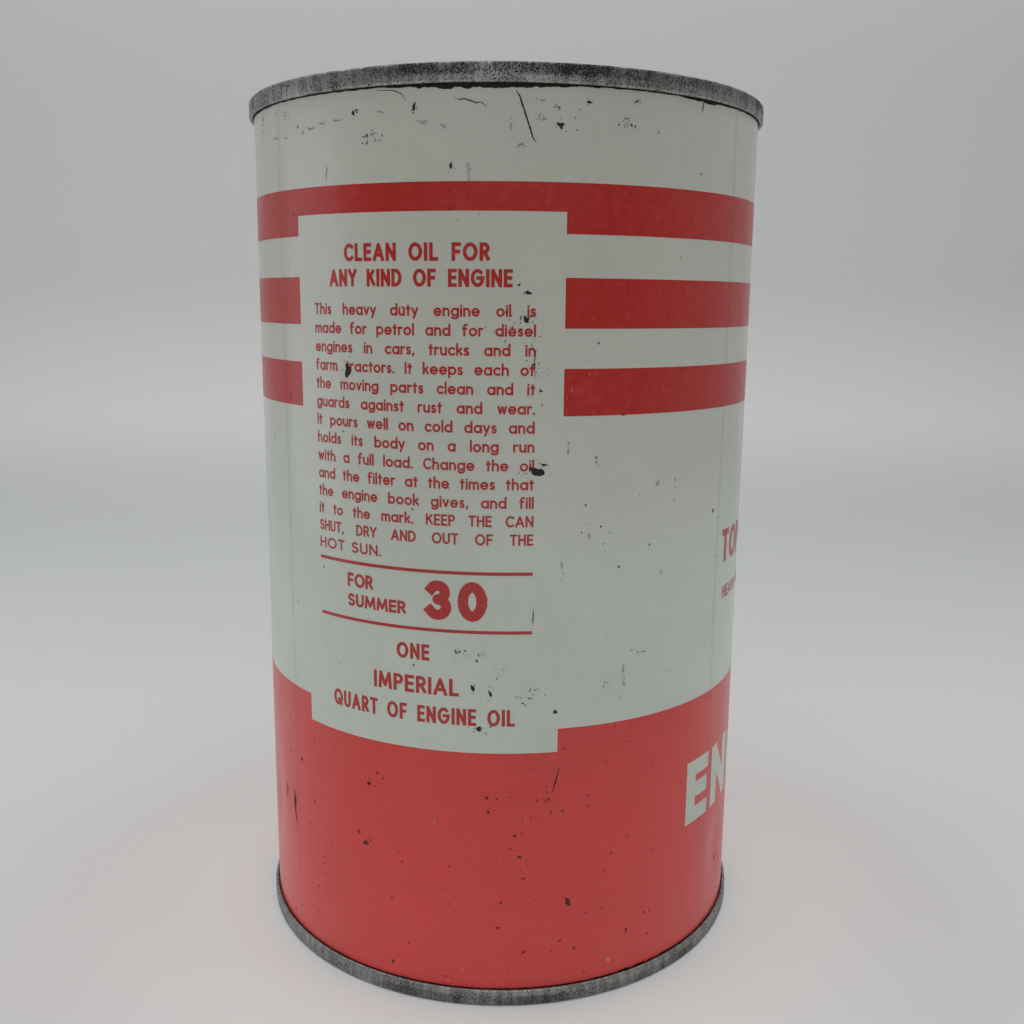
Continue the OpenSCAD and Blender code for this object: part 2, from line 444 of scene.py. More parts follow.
# Plain letters drawn with a pen: the strokes of each, as points on a grid where capitals are 1 high, small
# letters are LOW high, their stems reach TALL and their tails DEEP.
LOW = 0.66
TALL = 1.05
DEEP = -0.3
ROUND = (0.31, LOW / 2, 0.31, LOW / 2)
BOWL = bow(*ROUND, 0, 360)
ARCH = [*bow(0.25, 0.4, 0.25, 0.26, 180, 0), (0.5, 0)]
CAPITAL_O = bow(0.42, 0.5, 0.42, 0.5, 0, 360)
P_BOWL = [(0, 0), (0, 1), *bow(0.24, 0.74, 0.24, 0.26, 90, -90), (0, 0.48)]
GLYPHS = {
    "A": [[(0, 0), (0.36, 1), (0.72, 0)], [(0.14, 0.3), (0.58, 0.3)]],
    "C": [bow(0.4, 0.5, 0.4, 0.5, 50, 310)],
    "D": [[(0, 0), (0, 1), *bow(0.22, 0.5, 0.42, 0.5, 90, -90), (0, 0)]],
    "E": [[(0.44, 1), (0, 1), (0, 0), (0.44, 0)], [(0, 0.52), (0.4, 0.52)]],
    "F": [[(0.44, 1), (0, 1), (0, 0)], [(0, 0.5), (0.38, 0.5)]],
    "G": [[*bow(0.42, 0.5, 0.42, 0.5, 50, 360), (0.46, 0.5)]],
    "H": [[(0, 0), (0, 1)], [(0.56, 0), (0.56, 1)], [(0, 0.52), (0.56, 0.52)]],
    "I": [[(0, 0), (0, 1)]],
    "K": [[(0, 0), (0, 1)], [(0.5, 0.95), (0.04, 0.44)], [(0.22, 0.6), (0.55, 0.05)]],
    "L": [[(0, 1), (0, 0), (0.42, 0)]],
    "M": [[(0, 0), (0.08, 1)], [(0.72, 1), (0.8, 0)], [(0.12, 0.9), (0.4, 0.14), (0.68, 0.9)]],
    "N": [[(0, 0), (0, 1)], [(0.6, 0), (0.6, 1)], [(0.06, 0.9), (0.54, 0.1)]],
    "O": [CAPITAL_O],
    "P": [P_BOWL],
    "Q": [CAPITAL_O, [(0.5, 0.32), (0.78, 0.02)]],
    "R": [P_BOWL, [(0.24, 0.46), (0.5, 0.04)]],
    "S": [[*bow(0.25, 0.755, 0.22, 0.245, 35, 270), *bow(0.25, 0.255, 0.25, 0.255, 90, -145)[1:]]],
    "T": [[(0, 1), (0.54, 1)], [(0.27, 1), (0.27, 0)]],
    "U": [[(0, 1), *bow(0.28, 0.29, 0.28, 0.29, 180, 360), (0.56, 1)]],
    "V": [[(0, 1), (0.33, 0), (0.66, 1)]],
    "Y": [[(0, 1), (0.31, 0.46), (0.62, 1)], [(0.31, 0.46), (0.31, 0)]],
    "a": [BOWL, [(0.62, 0), (0.62, LOW)]],
    "b": [BOWL, [(0, 0), (0, TALL)]],
    "c": [bow(*ROUND, 50, 310)],
    "d": [BOWL, [(0.62, 0), (0.62, TALL)]],
    "e": [[(0.03, LOW / 2), (0.62, LOW / 2), *bow(*ROUND, 0, 315)[1:]]],
    "f": [[(0.1, 0), *bow(0.28, 0.88, 0.18, 0.17, 180, 70)], [(0, LOW), (0.28, LOW)]],
    "g": [BOWL, [(0.62, LOW), *bow(0.31, -0.06, 0.31, 0.24, 0, -145)]],
    "h": [[(0, 0), (0, TALL)], ARCH],
    "i": [[(0, 0), (0, LOW)], [(0, 0.95), (0, 0.96)]],
    "k": [[(0, 0), (0, TALL)], [(0.4, 0.62), (0.04, 0.3)], [(0.17, 0.4), (0.44, 0.03)]],
    "l": [[(0, 0), (0, TALL)]],
    "m": [[(0, 0), (0, LOW)], [*bow(0.21, 0.43, 0.21, 0.23, 180, 0), (0.42, 0)],
          [*bow(0.63, 0.43, 0.21, 0.23, 180, 0), (0.84, 0)]],
    "n": [[(0, 0), (0, LOW)], ARCH],
    "o": [BOWL],
    "p": [BOWL, [(0, DEEP), (0, LOW)]],
    "r": [[(0, 0), (0, LOW)], bow(0.2, 0.44, 0.2, 0.22, 180, 65)],
    "s": [[*bow(0.18, 0.49, 0.15, 0.17, 40, 270), *bow(0.18, 0.16, 0.17, 0.16, 90, -145)[1:]]],
    "t": [[(0.13, 0), (0.13, 0.9)], [(0, LOW), (0.28, LOW)]],
    "u": [[(0, LOW), *bow(0.25, 0.25, 0.25, 0.25, 180, 360)], [(0.5, LOW), (0.5, 0)]],
    "v": [[(0, LOW), (0.24, 0), (0.48, LOW)]],
    "w": [[(0, LOW), (0.18, 0), (0.37, LOW), (0.56, 0), (0.74, LOW)]],
    "y": [[(0, LOW), (0.24, 0.06)], [(0.5, LOW), (0.13, DEEP)]],
    "0": [bow(0.28, 0.5, 0.28, 0.5, 0, 360)],
    "3": [[*bow(0.25, 0.765, 0.22, 0.235, 150, -90), *bow(0.25, 0.265, 0.26, 0.265, 90, -150)[1:]]],
    ".": [[(0, 0), (0, 0.01)]],
    ",": [[(0.06, 0.02), (0, -0.12)]],
}


# A stroke that turns by more than the first of these, in degrees, is broken there into two with square
# ends. Past the second, the corner is rounded instead.
CORNER = 60
TIGHT_CORNER = 100


def pen(points, half):
    """Convex shapes that together cover one stroke, which is twice half wide."""
    points = [Vector(p) for p in points]
    runs = [[points[0]]]
    dots = []
    for before, point, after in zip(points, points[1:], points[2:]):
        runs[-1].append(point)
        turn = math.degrees((point - before).angle(after - point))
        if turn > CORNER:
            runs.append([point])
        if turn > TIGHT_CORNER:
            dots.append(point)
    runs[-1].append(points[-1])
    shapes = []
    for run in runs:
        along = [(b - a).normalized() for a, b in zip(run, run[1:])]
        ends = [0 if any((p - dot).length < 1e-6 for dot in dots) else half for p in (run[0], run[-1])]
        sides = []
        for k, point in enumerate(run):
            into, out = along[max(0, k - 1)], along[min(len(along) - 1, k)]
            middle = (into + out).normalized()
            across = Vector((-middle.y, middle.x)) * half / middle.dot(into)
            if k == 0:
                point = point - into * ends[0]
            if k == len(run) - 1:
                point = point + out * ends[1]
            sides.append((point - across, point + across))
        shapes += [(a[0], b[0], b[1], a[1]) for a, b in zip(sides, sides[1:])]
    round_points = [Vector(p) * half for p in bow(0, 0, 1, 1, 0, 330)[:-1]]
    return shapes + [tuple(dot + p for p in round_points) for dot in dots]


def covers(shape, point):
    """Whether a convex shape holds a point."""
    return all((b - a).cross(point - a) >= 0 for a, b in zip(shape, shape[1:] + shape[:1]))


def add_joined(part, shapes):
    """Adds flat faces that cover a set of convex shapes and nowhere overlap."""
    corners, faces = [], []
    for shape in shapes:
        faces.append(list(range(len(corners), len(corners) + len(shape))))
        corners += shape
    points, _, pieces, _, _, _ = delaunay_2d_cdt(corners, [], faces, 0, 1e-5)
    vertices = {}
    for piece in pieces:
        a, b, c = (points[k] for k in piece)
        middle = (a + b + c) / 3
        if abs((b - a).cross(c - a)) > 1e-7 and any(covers(shape, middle) for shape in shapes):
            for k in piece:
                if k not in vertices:
                    vertices[k] = part.verts.new((*points[k], 0))
            part.faces.new([vertices[k] for k in piece])


# Flat letters are cut this often across and up, so that they bend with the wall.
CUT_ACROSS = 1.5
CUT_UP = 2


class Lettering:
    """Lines of text that are wrapped on the wall as one piece."""

    def __init__(self, name, material):
        self.name = name
        self.material = material
        self.bm = bmesh.new()

    def line(self, text, angle_from, angle_to, base, cap, stroke, gap=0.3, word=0.55, width=0):
        """Sets a line between two angles, with capitals from base up to base + cap and strokes of one
        width. The gaps between letters and words are in capital heights, and all of it is stretched to fit.
        With a width, letters keep that width and only the words spread."""
        room = arc(angle_to) - arc(angle_from) - stroke
        tall = cap - stroke
        wide = {letter: max(x for line in GLYPHS[letter] for x, _ in line) for letter in set(text) - {" "}}
        spaces = text.count(" ")
        inked = sum(wide[letter] for letter in text if letter != " ") + gap * (len(text) - 1 - spaces)
        stretch = room / (inked + spaces * word)
        if width:
            stretch = tall * width
            word = (room / stretch - inked) / spaces
        part = bmesh.new()
        x = 0
        for letter in text:
            if letter == " ":
                x += word
                continue
            shapes = []
            for points in GLYPHS[letter]:
                placed = [(arc(angle_from) + stroke / 2 + (x + px) * stretch, base + stroke / 2 + py * tall)
                          for px, py in points]
                shapes += pen(placed, stroke / 2)
            add_joined(part, shapes)
            x += wide[letter] + gap
        self.add_flat(part)

    def bar(self, angle_from, angle_to, low, high):
        """Sets a printed rule."""
        part = bmesh.new()
        left, right = arc(angle_from), arc(angle_to)
        corners = ((left, low), (right, low), (right, high), (left, high))
        part.faces.new([part.verts.new((x, y, 0)) for x, y in corners])
        self.add_flat(part)

    def add_flat(self, part):
        """Cuts a flat part up and bends it round the wall."""
        for axis, step in ((0, CUT_ACROSS), (1, CUT_UP)):
            values = [v.co[axis] for v in part.verts]
            for k in range(math.floor(min(values) / step) + 1, math.ceil(max(values) / step)):
                point, normal = Vector(), Vector()
                point[axis] = k * step
                normal[axis] = 1
                everything = part.verts[:] + part.edges[:] + part.faces[:]
                bmesh.ops.bisect_plane(part, geom=everything, plane_co=point, plane_no=normal, dist=1e-5)
        for vertex in part.verts:
            vertex.co = on_wall(angle_of(vertex.co.x), vertex.co.y, TEXT_LIFT)
        mesh = bpy.data.meshes.new("part")
        part.to_mesh(mesh)
        part.free()
        self.bm.from_mesh(mesh)

    def finish(self):
        bmesh.ops.remove_doubles(self.bm, verts=self.bm.verts, dist=1e-8)
        add_film(self.name, self.bm, self.material)


PARAGRAPH = (
    "This heavy duty engine oil is",
    "made for petrol and for diesel",
    "engines in cars, trucks and in",
    "farm tractors. It keeps each of",
    "the moving parts clean and it",
    "guards against rust and wear.",
    "It pours well on cold days and",
    "holds its body on a long run",
    "with a full load. Change the oil",
    "and the filter at the times that",
    "the engine book gives, and fill",
    "it to the mark. KEEP THE CAN",
    "SHUT, DRY AND OUT OF THE",
    "HOT SUN.",
)
PARAGRAPH_FROM, PARAGRAPH_TO = -41.9, 5.9
FIRST_BASE, LINE_PITCH = 125.7, 3.2


def make_side_panel(ink):
    heading = Lettering("print_heading", ink)
    heading.line("CLEAN OIL FOR", -33.3, -2.9, 134.6, 2.95, 0.61, gap=0.42, word=0.9)
    heading.line("ANY KIND OF ENGINE", -37.3, 1.4, 130.45, 2.9, 0.59, gap=0.42, word=0.9)
    heading.finish()

    paragraph = Lettering("print_paragraph", ink)
    for k, text in enumerate(PARAGRAPH):
        base = FIRST_BASE - k * LINE_PITCH
        if k < len(PARAGRAPH) - 1:
            paragraph.line(text, PARAGRAPH_FROM, PARAGRAPH_TO, base, 1.98, 0.35, width=1.05)
        else:
            paragraph.line(text, PARAGRAPH_FROM, -25.4, base, 1.98, 0.35)
    paragraph.finish()

    grade = Lettering("print_grade", ink)
    for middle in (82.3, 71.8):
        grade.bar(PARAGRAPH_FROM, PARAGRAPH_TO, middle - 0.29, middle + 0.29)
    grade.line("FOR", -34, -27.5, 77.8, 2.55, 0.52)
    grade.line("SUMMER", -34, -19.9, 74.2, 2.35, 0.5)
    grade.line("30", -15.9, -3.1, 73.7, 7.1, 1.85, gap=0.5)
    grade.finish()

    contents = Lettering("print_contents", ink)
    contents.line("ONE", -22.1, -14.9, 66.1, 2.95, 0.58, gap=0.45)
    contents.line("IMPERIAL", -27.6, -8.8, 59.9, 3.2, 0.62, gap=0.36)
    contents.line("QUART OF ENGINE OIL", -38.7, 2.6, 54.6, 3.1, 0.58, gap=0.45, word=0.85)
    contents.finish()


# The two front panels lie at equal angles from the middle of the side panel.
FRONT_MIDDLE = 82
BACK_MIDDLE = PANEL_FROM + PANEL_TO - FRONT_MIDDLE


def make_front_panel(name, middle, red, white):
    words = Lettering("print_" + name + "_words", red)
    words.line("TOP GRADE", middle - 24, middle + 24, 78.8, 6.6, 1.25, gap=0.4, word=0.8)
    words.line("HEAVY DUTY ENGINE OIL", middle - 22.4, middle + 22.4, 71.4, 2.5, 0.42, word=0.7)
    words.finish()
    title = Lettering("print_" + name + "_title", white)
    title.line("ENGINE", middle - 36, middle + 36, 28, 13, 3.2, gap=0.42)
    title.finish()


# ---- wear

# Chips down to the plate: angle, height, and how wide and tall in mm.
CHIPS = (
    (-32.8, 116.2, 1.5, 2.3), (6.4, 100, 3, 1.5), (7.8, 101.2, 1.2, 0.5), (14.4, 19.9, 0.9, 2.2),
    (-10.3, 149.5, 0.7, 1.2), (-17.3, 158.7, 0.6, 1.3), (-30.3, 158.3, 0.6, 0.9), (-29.6, 158.7, 0.5, 0.5),
    (10.1, 155.8, 1.1, 1.2), (15.4, 159.5, 1.1, 0.5), (25.2, 160.2, 0.7, 0.3), (4.4, 129.6, 1.1, 0.7),
    (3.9, 125.4, 1, 1.3), (2.6, 130.9, 0.5, 0.5), (7, 113.6, 0.6, 0.4), (-6, 61.6, 0.8, 1.1),
    (-2.4, 60.6, 0.5, 1.7), (-4.6, 54, 0.9, 1.1), (10.8, 57, 0.8, 0.8), (-5.2, 66.8, 0.4, 0.5),
    (-29.4, 40.8, 1, 0.9), (-27, 43.3, 0.7, 0.5), (-25.7, 42.5, 0.4, 0.4), (-30.3, 28.6, 1.3, 1.5),
    (-32.3, 30.4, 0.7, 0.6), (-51.6, 39.9, 0.8, 0.6), (-55.8, 29.6, 0.9, 3), (-23.9, 5.9, 0.7, 0.7),
    (-11.9, 5, 0.6, 0.4), (28.6, 11.6, 0.7, 1.1), (33.4, 13.9, 0.5, 0.6), (15.9, 10.3, 0.5, 0.6),
    (5, 10.5, 0.7, 0.5), (-0.5, 15.5, 0.6, 0.6), (-3.1, 41.1, 0.6, 0.8), (-2.7, 38.4, 0.5, 0.8),
    (2.9, 33.8, 0.6, 0.5), (3.8, 29.6, 0.6, 0.5), (4.5, 25.3, 0.5, 0.4), (9.7, 40.6, 0.6, 0.6),
    (7.5, 40.5, 0.4, 0.4), (10.4, 37.9, 0.4, 0.5), (64.8, 14.4, 0.5, 1.5), (96, 118, 1.8, 1.1),
    (121, 44, 1.1, 1.6), (-104, 96, 1.5, 2.2), (150, 101, 1, 0.8), (-148, 35, 2, 1.2), (-90, 140, 0.8, 1.4),
    (84, 62, 0.8, 0.6), (-160, 128, 1.4, 1),
)
# Scratches through the print: the angles and heights that each runs through, and its width.
SCRATCHES = (
    (((1.7, 160.9), (2.4, 160), (3.2, 158), (4.3, 155.3), (4.8, 153.9), (5.5, 153.1)), 0.3),
    (((-9.6, 159.8), (-8.8, 159.5), (-7.6, 159.6), (-5.6, 159), (-4.6, 159.1), (-3.6, 158.3)), 0.17),
    (((-25, 161.4), (-21.6, 161.3), (-19.8, 160.7), (-18.9, 159.6)), 0.13),
    (((42.1, 161.9), (41.9, 160.8), (41.7, 159.9)), 0.24), (((-55.9, 32), (-56.2, 28.9), (-55.2, 25)), 0.7),
    (((-60.6, 32.4), (-60.9, 28.6)), 0.4), (((6, 120.6), (5.6, 118), (5.9, 115.8)), 0.16),
    (((4.9, 121.5), (5.7, 119.9)), 0.14), (((6.1, 75.9), (6, 73.2)), 0.2),
    (((12, 46.4), (11.4, 44.4), (10.6, 42)), 0.32), (((70, 112), (74, 104), (76, 97)), 0.18),
    (((-120, 84), (-114, 72), (-111, 66)), 0.2), (((140, 70), (146, 66), (150, 58)), 0.22),
)
# Sprays of fine pits: angle, height, spread and how many.
SPRAYS = (
    (-26.3, 154.3, 1.6, 14), (13, 156.9, 3, 6), (23.4, 156.9, 1.3, 8), (1.5, 124.6, 3.2, 24),
    (6.2, 117, 1.6, 12), (-8.6, 67.8, 1.4, 12), (-4.2, 68, 1, 7), (5.4, 60.8, 2.2, 16), (-4.6, 54, 1.4, 12),
    (-0.5, 64.5, 2.6, 6), (3.6, 30, 3.5, 14), (9, 40, 3, 9), (20, 88, 9, 16), (30, 66, 9, 12),
    (-35, 116, 1.8, 9), (-29, 41.5, 2.4, 9), (-2, 40, 3, 9), (36, 12, 5, 8), (0, 12, 8, 12),
    (98, 90, 14, 26), (-100, 60, 14, 26), (150, 120, 12, 22), (-150, 90, 14, 22),
)
# Pale nicks in the red, where the ink is worn thin over the white coat.
NICKS = (
    (24.3, 6.3, 1.3, 0.9), (4, 7.4, 0.5, 0.5), (-11, 4.2, 0.9, 0.25), (-8, 6.8, 0.4, 0.5),
    (-14, 35.7, 0.6, 0.7), (16.8, 33.5, 0.4, 0.5), (13, 113.9, 0.14, 1.3), (12.2, 112.6, 0.12, 0.8),
    (-5, 142, 0.3, 0.5), (37, 136, 0.4, 0.4), (16.6, 116.4, 0.14, 0.8), (30.7, 48.4, 0.4, 0.5),
    (11.7, 45, 0.2, 1.4), (5.1, 37.2, 0.4, 0.5), (-0.2, 29.5, 0.3, 0.3), (22, 22, 0.3, 0.4),
)
# Faint scuffs in the white coat, in the same way.
SCUFFS = (
    (-26.3, 154.4, 2.6, 0.8), (-24.2, 158.1, 1.2, 0.4), (-34.4, 157.4, 2, 0.35), (-38.6, 157.2, 1.6, 0.3),
    (-41.5, 156.7, 1.8, 0.3), (-44, 156.2, 1.4, 0.3), (-55.1, 156.2, 1.8, 0.4), (-50.5, 155.9, 1.4, 0.3),
    (-62.8, 160, 1.3, 2.3), (-50.5, 159.4, 1.1, 1), (-15.5, 156.3, 1.4, 0.5), (-11.4, 155.6, 1, 0.7),
    (-37.6, 149.4, 0.6, 1.5), (-7, 148.2, 0.4, 2), (6.3, 159.6, 0.9, 0.6), (9.3, 158.5, 1.3, 0.7),
    (6.1, 157, 0.6, 0.9), (7.2, 156.6, 1, 0.4), (25.2, 160.2, 1.6, 0.5), (23.1, 157.2, 1.4, 0.7),
    (2.7, 152.6, 1.2, 0.8), (0.8, 155.4, 0.3, 1.8), (42.1, 150, 0.9, 0.5), (12.6, 103.8, 0.3, 2.2),
    (18.6, 101.4, 0.6, 1.2), (17.2, 88.6, 0.6, 1), (33, 97, 0.8, 1.1), (38, 96, 0.3, 2.6),
    (11.8, 83, 0.3, 2.4), (26, 62.4, 0.3, 3.4), (30.4, 66.2, 1.8, 0.4), (22, 61.4, 0.8, 0.8),
    (35, 80.6, 0.8, 0.5), (-72, 88, 0.6, 2.4), (-66, 74, 1.2, 0.6), (104, 100, 1.4, 1.6), (132, 84, 2, 0.6),
    (-130, 102, 1.2, 1.8), (-96, 78, 2.2, 0.5),
)


BLOB_CORNERS = 15
BLOB_SPIKE = 1.6
SCRATCH_STEPS = 6
SCUFF_FLECKS = 7


def blob(bm, angle, z, wide, tall, lift, chance):
    """A small ragged patch that lies on the wall, with one corner that sticks out."""
    rough = [chance.uniform(0.4, 1.2) for _ in range(BLOB_CORNERS)]
    rough[chance.randrange(BLOB_CORNERS)] = BLOB_SPIKE
    lean = chance.uniform(-0.4, 0.4)
    centre = bm.verts.new(on_wall(angle, z, lift))
    ring = []
    for k in range(BLOB_CORNERS):
        reach = (0.7 * rough[k] + 0.3 * rough[k - 1]) / 2
        turn = 2 * math.pi * k / BLOB_CORNERS
        x, y = wide * reach * math.cos(turn), tall * reach * math.sin(turn)
        ring.append(bm.verts.new(on_wall(angle + angle_of(x + lean * y), z + y, lift)))
    for a, b in zip(ring, ring[1:] + ring[:1]):
        bm.faces.new((centre, a, b))


def strip(bm, route, width, lift, chance):
    """A thin tapered scratch along a route of (angle, height)."""
    fine = []
    for (a0, z0), (a1, z1) in zip(route, route[1:]):
        shares = [i / SCRATCH_STEPS for i in range(SCRATCH_STEPS)]
        fine += [(a0 + (a1 - a0) * share, z0 + (z1 - z0) * share) for share in shares]
    fine.append(route[-1])
    sides = []
    for k, (angle, z) in enumerate(fine):
        before, after = fine[max(0, k - 1)], fine[min(len(fine) - 1, k + 1)]
        along = Vector((arc(after[0] - before[0]), after[1] - before[1])).normalized()
        taper = 0.15 + 0.85 * math.sin(math.pi * (0.06 + 0.88 * k / (len(fine) - 1)))
        across = Vector((-along.y, along.x)) * (width / 2 * taper * chance.uniform(0.7, 1.2))
        ends = (-across, across)
        sides.append([bm.verts.new(on_wall(angle + angle_of(end.x), z + end.y, lift)) for end in ends])
    for a, b in zip(sides, sides[1:]):
        bm.faces.new((a[0], a[1], b[1], b[0]))


def make_wear(bare, rusty, thin_ink, scuffed):
    """Every mark on the wall. Those that go down to the plate are rusty below the panel and bare above."""
    chance = random.Random(5)
    high, low = bmesh.new(), bmesh.new()
    for angle, z, wide, tall in CHIPS:
        bm = low if z < PANEL_LOW else high
        blob(bm, angle, z, wide, tall, MARK_LIFT, chance)
        for _ in range(round(3 * max(wide, tall))):
            turn, reach = chance.uniform(0, 2 * math.pi), chance.uniform(0.6, 1.1)
            x, y = wide * reach * math.cos(turn), tall * reach * math.sin(turn)
            size = chance.uniform(0.1, 0.28)
            blob(bm, angle + angle_of(x), z + y, size, size, MARK_LIFT, chance)
    for route, width in SCRATCHES:
        strip(low if route[0][1] < PANEL_LOW else high, route, width, MARK_LIFT, chance)
    for angle, z, spread, count in SPRAYS:
        for _ in range(count):
            size = 0.13 + 0.26 * chance.random() ** 2
            x, y = chance.gauss(0, spread * 0.6), chance.gauss(0, spread * 0.45)
            if SEAM_H + 1 < z + y < CAN_TOP - SEAM_H - 1:
                bm = low if z + y < PANEL_LOW else high
                blob(bm, angle + angle_of(x), z + y, size, size * chance.uniform(0.7, 1.6), MARK_LIFT, chance)
    add_film("bare_chips", high, bare)
    add_film("rusty_chips", low, rusty)

    bm = bmesh.new()
    for angle, z, wide, tall in NICKS:
        blob(bm, angle, z, wide, tall, TEXT_LIFT, chance)
    add_film("ink_nicks", bm, thin_ink)

    bm = bmesh.new()
    for angle, z, wide, tall in SCUFFS:
        for _ in range(SCUFF_FLECKS):
            x, y = chance.gauss(0, wide * 0.35), chance.gauss(0, tall * 0.35)
            blob(bm, angle + angle_of(x), z + y, 0.3 * wide + 0.08, 0.25 * tall + 0.08, TEXT_LIFT, chance)
    add_film("coat_scuffs", bm, scuffed)


def make_grime(name, top, grime):
    """The dark line of old oil and rust along a seam's edge, thick in some places and thin in others."""
    columns = SEGMENTS * 4
    edge = CAN_TOP - SEAM_H if top else SEAM_H
    away = -1 if top else 1
    bm = bmesh.new()
    rings = []
    for k in range(columns):
        angle = 360 * k / columns - 180
        spot = ring_spot(angle, 1, 11 if top else 23)
        slow = 0.5 + 0.5 * noise.noise(spot * 3)
        fine = max(0, 0.5 + noise.noise(spot * 26) + 0.5 * noise.noise(spot * 70))
        if top:
            thick = 0.05 + 0.1 * slow + 0.12 * fine
            worst = 1 / (1 + ((angle + 5) / 13) ** 4) + 0.5 * math.exp(-((angle - 44) / 5) ** 2)
            thick += (0.45 + 0.35 * fine) * worst
        else:
            thick = 0.03 + 0.16 * slow * fine + 0.35 * fine * math.exp(-((angle - 33) / 9) ** 2)
        heights = [edge + away * reach for reach in (-0.4, 0, thick)]
        rings.append([bm.verts.new(on_wall(angle, z, MARK_LIFT)) for z in heights])
    for a, b in zip(rings, rings[1:] + rings[:1]):
        for i in range(2):
            bm.faces.new((a[i], b[i], b[i + 1], a[i + 1]))
    add_film(name, bm, grime)


# ---- materials

class Shader:
    """A material or a world being made. add() makes a node, sets its inputs and returns an output."""

    def __init__(self, name, kind=bpy.data.materials):
        self.owner = kind.new(name)
        self.owner.use_nodes = True
        self.tree = self.owner.node_tree
        self.tree.nodes.clear()
        self.place = self.add("TexCoord", {}, "Object")

    def add(self, kind, inputs, output=0, **settings):
        node = self.tree.nodes.new("ShaderNode" + kind)
        for key, value in settings.items():
            setattr(node, key, value)
        for key, value in inputs.items():
            if isinstance(value, bpy.types.NodeSocket):
                self.tree.links.new(value, node.inputs[key])
            else:
                node.inputs[key].default_value = value
        return node.outputs[output]

    def maths(self, operation, a, b=0, c=0):
        return self.add("Math", {0: a, 1: b, 2: c}, operation=operation)

    def times(self, a, b):
        return self.maths("MULTIPLY", a, b)

    def axis(self, letter, place=None):
        """The X, Y or Z of a place."""
        return self.add("SeparateXYZ", {"Vector": place or self.place}, letter)

    def scaled(self, x, y, z):
        return self.add("Mapping", {"Vector": self.place, "Scale": (x, y, z)})

    def noise(self, scale, detail=4, roughness=0.55, place=None):
        return self.add("TexNoise", {"Vector": place or self.place, "Scale": scale, "Detail": detail,
                                     "Roughness": roughness})

    def between(self, value, low, high, to_low=0, to_high=1):
        return self.add("MapRange", {"Value": value, "From Min": low, "From Max": high,
                                     "To Min": to_low, "To Max": to_high}, interpolation_type="SMOOTHSTEP")

    def mix(self, factor, a, b):
        return self.add("MixRGB", {"Fac": factor, "Color1": a, "Color2": b})

    def along(self):
        """How far round the wall the point is from its front, in metres."""
        turn = self.maths("ARCTAN2", self.axis("X"), self.times(self.axis("Y"), -1))
        return self.times(turn, WALL_R * MM)

    def grain(self, lean, squeeze):
        """The wall unrolled flat, leant by an angle in radians and drawn out upwards."""
        wall = self.add("CombineXYZ", {"X": self.along(), "Y": self.axis("Z")})
        return self.add("Mapping", {"Vector": wall, "Rotation": (0, 0, lean), "Scale": (1, squeeze, 1)})

    def specks(self, scale, share, size, place=None):
        """Scattered spots: a share of all cells holds one, whose radius is up to size of the cell."""
        chance = self.add("TexVoronoi", {"Vector": place or self.place, "Scale": scale}, "Color")
        away = self.maths("SUBTRACT", chance.node.outputs["Distance"], size * 0.45)
        first = self.add("SeparateColor", {"Color": chance}, "Red")
        chosen = self.maths("LESS_THAN", first, share)
        radius = self.times(self.maths("MULTIPLY_ADD", first.node.outputs["Green"], 0.7, 0.3), size)
        reach = self.maths("SUBTRACT", radius, self.times(self.noise(scale * 4, 2), size * 0.9))
        inside = self.maths("SUBTRACT", reach, away)
        return self.times(self.between(inside, 0, size * 0.25), chosen)

    def fold(self, angle):
        """1 on an upright fold line in the wall, falling to 0 within a millimetre of it."""
        away = self.maths("SUBTRACT", self.along(), arc(angle) * MM)
        bent = self.noise(14, 2)
        away = self.maths("MULTIPLY_ADD", bent, 0.0012, self.maths("SUBTRACT", away, 0.0006))
        return self.between(self.maths("ABSOLUTE", away), 0.0002, 0.001, 1, 0)

    def put_out(self, kind, surface):
        output = self.tree.nodes.new(kind)
        self.tree.links.new(surface, output.inputs["Surface"])
        return self.owner

    def finish(self, **inputs):
        inputs = {key.replace("_", " "): value for key, value in inputs.items()}
        return self.put_out("ShaderNodeOutputMaterial", self.add("BsdfPrincipled", inputs))


# Upright fold lines in the wall, at these angles.
FOLDS = (55, -53.8)


